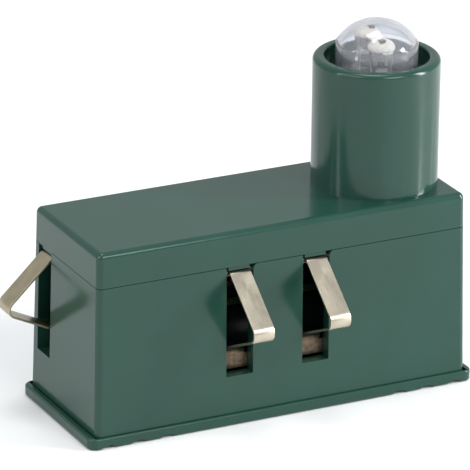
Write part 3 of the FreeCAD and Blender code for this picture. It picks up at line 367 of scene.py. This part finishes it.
NODE_LOOKS = {
    "lower_body": "green_plastic", "top_cover": "green_plastic", "base_plate": "base_plastic",
    "base_screws": "screw_steel", "board_screws": "screw_steel",
    "contact_side_left": "nickel_x", "contact_side_right": "nickel_x", "contact_end": "nickel_y",
    "contact_pin_side_left": "pin_steel", "contact_pin_side_right": "pin_steel",
    "contact_pin_end": "pin_steel", "clear_cap": "clear_plastic",
    "led_front": "lamp_plastic", "led_back": "lamp_plastic", "led_leads": "tinned_copper",
    "led_board": "lamp_board_mask", "led_post": "post_plastic", "main_board": "circuit_board",
    "transformer_core": "ferrite", "transformer_winding": "copper_coil",
    "hv_capacitor_a": "film_capacitor_case", "hv_capacitor_b": "film_capacitor_case",
    "electrolytic_capacitor": "can_sleeve", "transistor": "chip_resin", "diodes": "chip_resin",
    "resistors": "resistor_body", "battery_cell": "cell_jacket",
    "battery_plate": "terminal_steel", "battery_spring": "terminal_steel",
    "contact_wire_side_left": "wire_red", "contact_wire_side_right": "wire_red",
    "contact_wire_end": "wire_black", "led_wires": "wire_black", "battery_wires": "wire_red",
}
# node: width of its rounded edges in mm
BEVELS = {
    "lower_body": 0.14, "top_cover": 0.1, "base_plate": 0.1,
    "contact_side_left": 0.07, "contact_side_right": 0.07, "contact_end": 0.07,
    "main_board": 0.08, "led_board": 0.1, "led_post": 0.2, "transformer_core": 0.3,
    "hv_capacitor_a": 0.7, "hv_capacitor_b": 0.7, "transistor": 0.15, "diodes": 0.2,
    "resistors": 0.2, "battery_plate": 0.06, "clear_cap": 0.15, "led_front": 0.1,
    "led_back": 0.1, "led_leads": 0.05, "contact_pin_side_left": 0.1,
    "contact_pin_side_right": 0.1, "contact_pin_end": 0.1, "board_screws": 0.1,
}


def dress(obj, look):
    obj.data.materials.clear()
    obj.data.materials.append(MATERIALS[look])


EDGE_ANGLE = 38.0
CAP_EDGE_ANGLE = 22.0
SMOOTH_ANGLE = 34.0
WELD_DISTANCE = 0.000002
BEVEL_SEGMENTS = 3


def soften(obj, width_mm, angle):
    """Weld the split corners and round them, so that edges catch the light."""
    weld = obj.modifiers.new("weld", "WELD")
    weld.merge_threshold = WELD_DISTANCE
    bevel = obj.modifiers.new("bevel", "BEVEL")
    bevel.width = width_mm * MM
    bevel.segments = BEVEL_SEGMENTS
    bevel.limit_method = "ANGLE"
    bevel.angle_limit = math.radians(angle)
    bevel.harden_normals = True
    bevel.use_clamp_overlap = True


for node_name, look_name in NODE_LOOKS.items():
    dress(NODES[node_name], look_name)
for node_name, width in BEVELS.items():
    edge_angle = CAP_EDGE_ANGLE if node_name == "clear_cap" else EDGE_ANGLE
    soften(NODES[node_name], width, edge_angle)

# ---- pieces built here ----


def add_piece(name, mesh, look, body, smooth):
    obj = bpy.data.objects.new(name, mesh)
    scene.collection.objects.link(obj)
    mesh.materials.append(MATERIALS[look])
    for face in mesh.polygons:
        face.use_smooth = smooth
    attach(obj, body)
    return obj


def point(x, y, z):
    return Vector((x * MM, y * MM, z * MM))


def mesh_of(name, mesh_data):
    mesh = bpy.data.meshes.new(name)
    mesh_data.normal_update()
    mesh_data.to_mesh(mesh)
    mesh_data.free()
    return mesh


def ring_of(data, centre, u, v, radius, steps):
    ring = []
    for i in range(steps):
        angle = math.tau * i / steps
        spot = centre + (u * math.cos(angle) + v * math.sin(angle)) * (radius * MM)
        ring.append(data.verts.new(spot))
    return ring


def bridge(data, low, high):
    count = len(low)
    for i in range(count):
        follow = (i + 1) % count
        data.faces.new((low[i], low[follow], high[follow], high[i]))


def turned(data, profile, at, axis, steps):
    """Add a turned solid: profile holds (radius, distance along the axis) pairs in mm."""
    ways = {
        "X": (Vector((0, 1, 0)), Vector((0, 0, 1)), Vector((1, 0, 0))),
        "Z": (Vector((1, 0, 0)), Vector((0, 1, 0)), Vector((0, 0, 1))),
    }
    u, v, along = ways[axis]
    rings = []
    for radius, reach in profile:
        rings.append(ring_of(data, at + along * (reach * MM), u, v, radius, steps))
    for low, high in zip(rings, rings[1:]):
        bridge(data, low, high)
    data.faces.new(list(reversed(rings[0])))
    data.faces.new(rings[-1])


def slab(data, low, high, cut):
    """Add a box with chamfered upright and level edges, sizes in mm."""
    levels = (
        (low[2], cut), (low[2] + cut, 0.0), (high[2] - cut, 0.0), (high[2], cut),
    )
    rings = []
    for level, inset in levels:
        x0, x1 = low[0] + inset, high[0] - inset
        y0, y1 = low[1] + inset, high[1] - inset
        outline = (
            (x0 + cut, y0), (x1 - cut, y0), (x1, y0 + cut), (x1, y1 - cut),
            (x1 - cut, y1), (x0 + cut, y1), (x0, y1 - cut), (x0, y0 + cut),
        )
        rings.append([data.verts.new(point(x, y, level)) for x, y in outline])
    for below, above in zip(rings, rings[1:]):
        bridge(data, below, above)
    data.faces.new(list(reversed(rings[0])))
    data.faces.new(rings[-1])


def built(name, look, fill, smooth=True):
    """Make a housing piece from the solids that fill() adds to a new mesh."""
    data = bmesh.new()
    fill(data)
    obj = add_piece(name, mesh_of(name, data), look, "housing", smooth)
    if smooth:
        split = obj.modifiers.new("split", "EDGE_SPLIT")
        split.split_angle = math.radians(SMOOTH_ANGLE)
    return obj


# Lamps, sizes in mm: a bulging disc over the dome, a die, and the posts and cup inside.
LAMP_X = 28.05
LAMP_HEIGHT = 8.6
LAMP_BULGE = 1.84
LAMP_DROP = 0.95
DISC_RADIUS = 2.8
DISC_RINGS = 20
DISC_SKIRT = ((2.3, -0.34), (2.72, -0.26))
CHIP_HALF_WIDTH = 0.6
CHIP_BACK, CHIP_FRONT = 1.7, 0.1
CHIP_DEPTH, CHIP_RISE = 0.9, 0.13
POST_REACH = 1.27
# half sizes in x and y, foot, top and chamfer of each block of a post
POST_BLOCKS = ((0.24, 0.24, 0.02, 5.2, 0.05), (0.55, 0.3, 3.8, 7.0, 0.1))
CUP_PROFILE = ((0.7, 5.0), (0.9, 5.2), (1.7, 7.0), (1.7, 7.14), (0.5, 7.14))
# lamp: (y, crown height, shift of its die)
LAMPS = {"front": (-3.3, 73.4, -0.5), "back": (3.3, 74.6, 0.5)}


def lamp_disc(y, crown):
    """The bulging disc that caps a lamp's shallow dome."""

    def fill(data):
        edge = crown - LAMP_DROP
        profile = [(radius, edge + drop) for radius, drop in DISC_SKIRT]
        profile.append((DISC_RADIUS, edge))
        for i in range(1, DISC_RINGS):
            angle = math.radians(90.0 * i / DISC_RINGS)
            profile.append((DISC_RADIUS * math.cos(angle), edge + LAMP_BULGE * math.sin(angle)))
        turned(data, profile, point(LAMP_X, y, 0.0), "Z", 64)

    return fill


def lamp_chip(y, crown, shift):
    """The dark die that stands out of the disc."""

    def fill(data):
        x = LAMP_X + shift
        top = crown - LAMP_DROP + LAMP_BULGE
        slab(data, (x - CHIP_HALF_WIDTH, y - CHIP_BACK, top - CHIP_DEPTH),
             (x + CHIP_HALF_WIDTH, y - CHIP_FRONT, top + CHIP_RISE), 0.08)

    return fill


def lamp_frame(y, crown):
    """Two flat posts and a flared cup between them, inside a lamp's resin."""
    foot = crown - LAMP_HEIGHT

    def fill(data):
        for side in (-1.0, 1.0):
            x = LAMP_X + side * POST_REACH
            for half_x, half_y, low, high, cut in POST_BLOCKS:
                slab(data, (x - half_x, y - half_y, foot + low),
                     (x + half_x, y + half_y, foot + high), cut)
        turned(data, CUP_PROFILE, point(LAMP_X, y, foot), "Z", 40)

    return fill


for place, (lamp_y, lamp_top, chip_shift) in LAMPS.items():
    built("lamp_disc_" + place, "lamp_phosphor", lamp_disc(lamp_y, lamp_top))
    chip = lamp_chip(lamp_y, lamp_top, chip_shift)
    built("lamp_chip_" + place, "lamp_chip", chip, smooth=False)
    built("lamp_frame_" + place, "tinned_copper", lamp_frame(lamp_y, lamp_top))

# Screws under the base, with cross recesses and threads, sizes in mm.
SCREW_SPOTS = ((37.6, 11.2), (37.6, -11.2), (-37.6, -11.2), (-27.5, 11.2))
HEAD_PROFILE = (
    (1.75, 0.2), (1.88, 0.45), (1.9, 0.8), (1.9, 1.25), (1.85, 1.3), (0.98, 1.3),
)
FACE_LEVEL, FACE_RADIUS = 0.1, 1.5
RECESS_LEVEL, RECESS_SCALE = 0.75, 0.62
THREAD_FOOT, THREAD_LENGTH, THREAD_PITCH = 1.3, 8.7, 0.8
THREAD_ROOT, THREAD_DEPTH = 0.78, 0.21
TIP_RADIUS, TIP_LEVEL, TIP_SLOPE = 0.25, 10.15, 0.9
THREAD_ROWS = 88
SCREW_STEPS = 48
CROSS = (
    (0.22, 1.0), (0.22, 0.22), (1.0, 0.22), (1.0, -0.22), (0.22, -0.22), (0.22, -1.0),
    (-0.22, -1.0), (-0.22, -0.22), (-1.0, -0.22), (-1.0, 0.22), (-0.22, 0.22), (-0.22, 1.0),
)


def cross_ring(data, x, y, level, scale):
    return [data.verts.new(point(x + cx * scale, y + cy * scale, level)) for cx, cy in CROSS]


def screw_shape(data, x, y):
    east, north = Vector((1, 0, 0)), Vector((0, 1, 0))
    base = point(x, y, 0.0)
    face = ring_of(data, point(x, y, FACE_LEVEL), east, north, FACE_RADIUS, SCREW_STEPS)
    mouth = cross_ring(data, x, y, FACE_LEVEL, 1.0)
    floor_ring = cross_ring(data, x, y, RECESS_LEVEL, RECESS_SCALE)
    edges = []
    for ring in (face, mouth):
        for i, vert in enumerate(ring):
            edges.append(data.edges.new((vert, ring[(i + 1) % len(ring)])))
    bmesh.ops.triangle_fill(data, use_beauty=True, edges=edges)
    bridge(data, mouth, floor_ring)
    data.faces.new(floor_ring)
    last = face
    for radius, level in HEAD_PROFILE:
        centre = base + Vector((0, 0, level * MM))
        ring = ring_of(data, centre, east, north, radius, SCREW_STEPS)
        bridge(data, last, ring)
        last = ring
    for row in range(1, THREAD_ROWS + 1):
        level = THREAD_FOOT + THREAD_LENGTH * row / THREAD_ROWS
        ring = []
        for i in range(SCREW_STEPS):
            phase = (level / THREAD_PITCH - i / SCREW_STEPS) % 1.0
            radius = THREAD_ROOT + THREAD_DEPTH * (1.0 - abs(2.0 * phase - 1.0))
            radius = min(radius, TIP_RADIUS + (TIP_LEVEL - level) * TIP_SLOPE)
            angle = math.tau * i / SCREW_STEPS
            ring.append(data.verts.new(
                point(x + radius * math.cos(angle), y + radius * math.sin(angle), level)))
        bridge(data, last, ring)
        last = ring
    data.faces.new(last)


def all_screws(data):
    for x, y in SCREW_SPOTS:
        screw_shape(data, x, y)
    bmesh.ops.recalc_face_normals(data, faces=data.faces)


screws = built("base_screws_detailed", "screw_steel", all_screws)
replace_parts(screws, "base_screws")

# Transformer winding: rows of wire round the core's middle leg, sizes in mm.
COIL_LOW = (-5.7, -1.5, 25.0)
COIL_HIGH = (5.7, 10.0, 33.2)
COIL_HOLE = (-2.3, 1.4, 2.3, 7.1)
COIL_TURNS = 24
ROWS_PER_TURN = 4
WIRE_SWELL = 0.14
COIL_INSET = 0.02
COIL_CORNER = 1.2
HOLE_CORNER = 0.05


def coil_loop(data, x0, y0, x1, y1, level, corner):
    loop = []
    spots = ((x1 - corner, y0 + corner, -90), (x1 - corner, y1 - corner, 0),
             (x0 + corner, y1 - corner, 90), (x0 + corner, y0 + corner, 180))
    for cx, cy, start in spots:
        for i in range(7):
            angle = math.radians(start + 15.0 * i)
            loop.append(data.verts.new(
                point(cx + corner * math.cos(angle), cy + corner * math.sin(angle), level)))
    return loop


def winding(data):
    rows = COIL_TURNS * ROWS_PER_TURN
    height = COIL_HIGH[2] - COIL_LOW[2] - 2 * COIL_INSET
    loops = []
    for row in range(rows + 1):
        level = COIL_LOW[2] + COIL_INSET + height * row / rows
        swell = math.sin(math.pi * (row % ROWS_PER_TURN) / ROWS_PER_TURN)
        inset = WIRE_SWELL * (1.0 - swell) + COIL_INSET
        loops.append(coil_loop(data, COIL_LOW[0] + inset, COIL_LOW[1] + inset,
                               COIL_HIGH[0] - inset, COIL_HIGH[1] - inset, level, COIL_CORNER))
    for low, high in zip(loops, loops[1:]):
        bridge(data, low, high)
    hole_low = coil_loop(data, *COIL_HOLE, COIL_LOW[2] + COIL_INSET, HOLE_CORNER)
    hole_high = coil_loop(data, *COIL_HOLE, COIL_HIGH[2] - COIL_INSET, HOLE_CORNER)
    bridge(data, hole_high, hole_low)
    bridge(data, loops[-1], hole_high)
    bridge(data, hole_low, loops[0])
    bmesh.ops.recalc_face_normals(data, faces=data.faces)


coil = built("winding_turns", "copper_coil", winding)
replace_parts(coil, "transformer_winding")

# Battery cell: steel can, plain jacket with a crimp, and an insulating ring.
CELL_AXIS = point(0.0, 5.5, 11.2)


def cell_can(data):
    turned(data, [
        (5.6, -19.5), (6.2, -19.45), (6.75, -19.2), (6.95, -18.8), (6.95, 29.0), (6.8, 29.3),
        (6.4, 29.45), (4.2, 29.45), (2.7, 29.5), (2.7, 30.5), (2.5, 30.75), (2.1, 30.8),
    ], CELL_AXIS, "X", 96)


def cell_jacket(data):
    turned(data, [
        (6.3, -19.42), (6.8, -19.32), (7.05, -19.0), (7.1, -18.6), (7.1, 27.6), (7.0, 27.9),
        (6.97, 28.2), (7.05, 28.5), (7.1, 28.7), (7.05, 29.2), (6.85, 29.42), (6.2, 29.5),
    ], CELL_AXIS, "X", 96)


def cell_ring(data):
    turned(data, [(5.9, 29.3), (5.9, 29.52), (5.7, 29.56), (3.3, 29.56), (3.1, 29.5)],
           CELL_AXIS, "X", 64)


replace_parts(built("cell_can", "terminal_steel", cell_can), "battery_cell")
built("cell_jacket", "cell_jacket", cell_jacket)
built("cell_ring", "fibre_ring", cell_ring)

# Electrolytic capacitor: sleeve with a crimp, aluminium top with a vent cross.
CAN_X, CAN_Y = 13.5, 8.0
CAN_AT = point(CAN_X, CAN_Y, 22.6)
VENT_FOOT, VENT_TOP = 34.04, 34.1
VENT_BARS = ((0.09, 2.0), (2.0, 0.09))


def can_sleeve(data):
    turned(data, [
        (3.3, 0.0), (3.6, 0.12), (3.72, 0.4), (3.72, 1.2), (3.5, 1.5), (3.45, 1.8), (3.6, 2.1),
        (3.75, 2.4), (3.8, 2.8), (3.8, 10.9), (3.7, 11.3), (3.4, 11.46), (3.0, 11.46),
    ], CAN_AT, "Z", 72)


def can_top(data):
    turned(data, [(3.1, 11.3), (3.1, 11.44), (2.9, 11.5), (0.8, 11.5)], CAN_AT, "Z", 64)


def can_vent(data):
    for reach_x, reach_y in VENT_BARS:
        slab(data, (CAN_X - reach_x, CAN_Y - reach_y, VENT_FOOT),
             (CAN_X + reach_x, CAN_Y + reach_y, VENT_TOP), 0.02)


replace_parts(built("can_sleeve", "can_sleeve", can_sleeve), "electrolytic_capacitor")
built("can_top", "aluminium", can_top)
built("can_vent", "chip_resin", can_vent, smooth=False)

# Bands on the axial components, sizes in mm.
# (left end, y, height of the axis, body radius, body length)
RESISTORS = (
    (27.5, 10.0, 24.0, 1.1, 6.0),
    (26.5, -8.2, 24.0, 1.1, 4.0),
    (26.5, -11.5, 24.0, 1.1, 4.0),
)
DIODES = ((18.5, 9.5), (18.5, 5.6), (18.5, -8.0), (18.5, -11.5))
DIODE_LEVEL = 24.2
BAND_HALF_WIDTH = 0.22
BAND_STEPS = 40
# name: (look, place along the body as a share of its length)
RESISTOR_BANDS = {
    "bands_brown": ("band_brown", 0.24),
    "bands_red": ("band_red", 0.43),
    "bands_second_brown": ("band_brown", 0.60),
    "bands_gold": ("band_gold", 0.80),
}


def resistor_bands(share):
    """One colour's bands, at the same share of each resistor's length."""

    def fill(data):
        for x, y, axis, radius, length in RESISTORS:
            middle = x + share * length
            low, high = middle - BAND_HALF_WIDTH, middle + BAND_HALF_WIDTH
            turned(data, [(radius - 0.1, low), (radius + 0.03, low + 0.03),
                          (radius + 0.03, high - 0.03), (radius - 0.1, high)],
                   point(0.0, y, axis), "X", BAND_STEPS)

    return fill


def cathode_bands(data):
    for x, y in DIODES:
        turned(data, [(1.2, x + 3.7), (1.33, x + 3.73), (1.33, x + 4.37), (1.2, x + 4.4)],
               point(0.0, y, DIODE_LEVEL), "X", BAND_STEPS)


for band_name, (band_look, band_share) in RESISTOR_BANDS.items():
    built(band_name, band_look, resistor_bands(band_share))
built("cathode_bands", "band_silver", cathode_bands)

# Solder joints and copper tracks under the main board.
BOARD_LOW = 21.0
TRACK_HALF_WIDTH = 0.45
JOINT_PROFILE = (
    (0.15, -0.85), (0.24, -0.7), (0.34, -0.4), (0.55, -0.15), (0.85, -0.02), (0.85, 0.02),
)
JOINTS = (
    (17.6, 9.5), (24.4, 9.5), (17.6, 5.6), (24.4, 5.6), (17.6, -8.0), (24.4, -8.0), (17.6, -11.5),
    (24.4, -11.5), (26.6, 10.0), (34.4, 10.0), (25.6, -8.2), (31.4, -8.2), (25.6, -11.5),
    (31.4, -11.5), (32.7, -6.0), (34.0, -6.0), (35.3, -6.0), (12.2, 8.0), (14.8, 8.0),
    (-21.5, 1.7), (-12.5, 1.7), (-21.5, 8.7), (-12.5, 8.7), (-6.6, 2.6), (6.6, 2.6),
)
TRACKS = (
    ((17.6, 9.5), (12.2, 8.0)), ((24.4, 9.5), (26.6, 10.0)), ((24.4, 5.6), (32.7, -6.0)),
    ((17.6, 5.6), (14.8, 8.0)), ((6.6, 2.6), (12.2, 8.0)), ((-6.6, 2.6), (-12.5, 1.7)),
    ((-21.5, 1.7), (-21.5, 8.7)), ((-12.5, 8.7), (-6.6, 2.6)), ((17.6, -8.0), (17.6, -11.5)),
    ((24.4, -8.0), (25.6, -8.2)), ((31.4, -8.2), (32.7, -6.0)), ((24.4, -11.5), (25.6, -11.5)),
    ((31.4, -11.5), (35.3, -6.0)), ((34.4, 10.0), (34.0, -6.0)),
)


def solder_joints(data):
    for x, y in JOINTS:
        turned(data, JOINT_PROFILE, point(x, y, BOARD_LOW), "Z", 28)


def tracks(data):
    for (x0, y0), (x1, y1) in TRACKS:
        run = Vector((x1 - x0, y1 - y0, 0.0))
        side = Vector((-run.y, run.x, 0.0)).normalized() * TRACK_HALF_WIDTH
        ends = (Vector((x0, y0, 0.0)), Vector((x1, y1, 0.0)))
        corners = (ends[0] - side, ends[1] - side, ends[1] + side, ends[0] + side)
        low = [data.verts.new(point(c.x, c.y, BOARD_LOW - 0.07)) for c in corners]
        high = [data.verts.new(point(c.x, c.y, BOARD_LOW + 0.02)) for c in corners]
        bridge(data, low, high)
        data.faces.new(list(reversed(low)))
        data.faces.new(high)


built("solder_joints", "solder", solder_joints)
built("copper_tracks", "copper_trace", tracks, smooth=False)

# ---- floor ----

FLOOR_HALF = 6.0
# Just under the base, so that the two faces don't fight when seen from below.
FLOOR_LEVEL = -0.00005


def add_floor():
    mesh = bpy.data.meshes.new("floor")
    corners = [(x, y, FLOOR_LEVEL) for x, y in (
        (-FLOOR_HALF, -FLOOR_HALF), (FLOOR_HALF, -FLOOR_HALF),
        (FLOOR_HALF, FLOOR_HALF), (-FLOOR_HALF, FLOOR_HALF))]
    mesh.from_pydata(corners, [], [(0, 1, 2, 3)])
    obj = bpy.data.objects.new("floor", mesh)
    scene.collection.objects.link(obj)
    look = Look("floor", (0.76, 0.77, 0.78), 0.6)
    look.tint(look.noise(3.0, 2.0), (0.75, 0.76, 0.77), (0.78, 0.785, 0.79))
    mesh.materials.append(look.material)


add_floor()
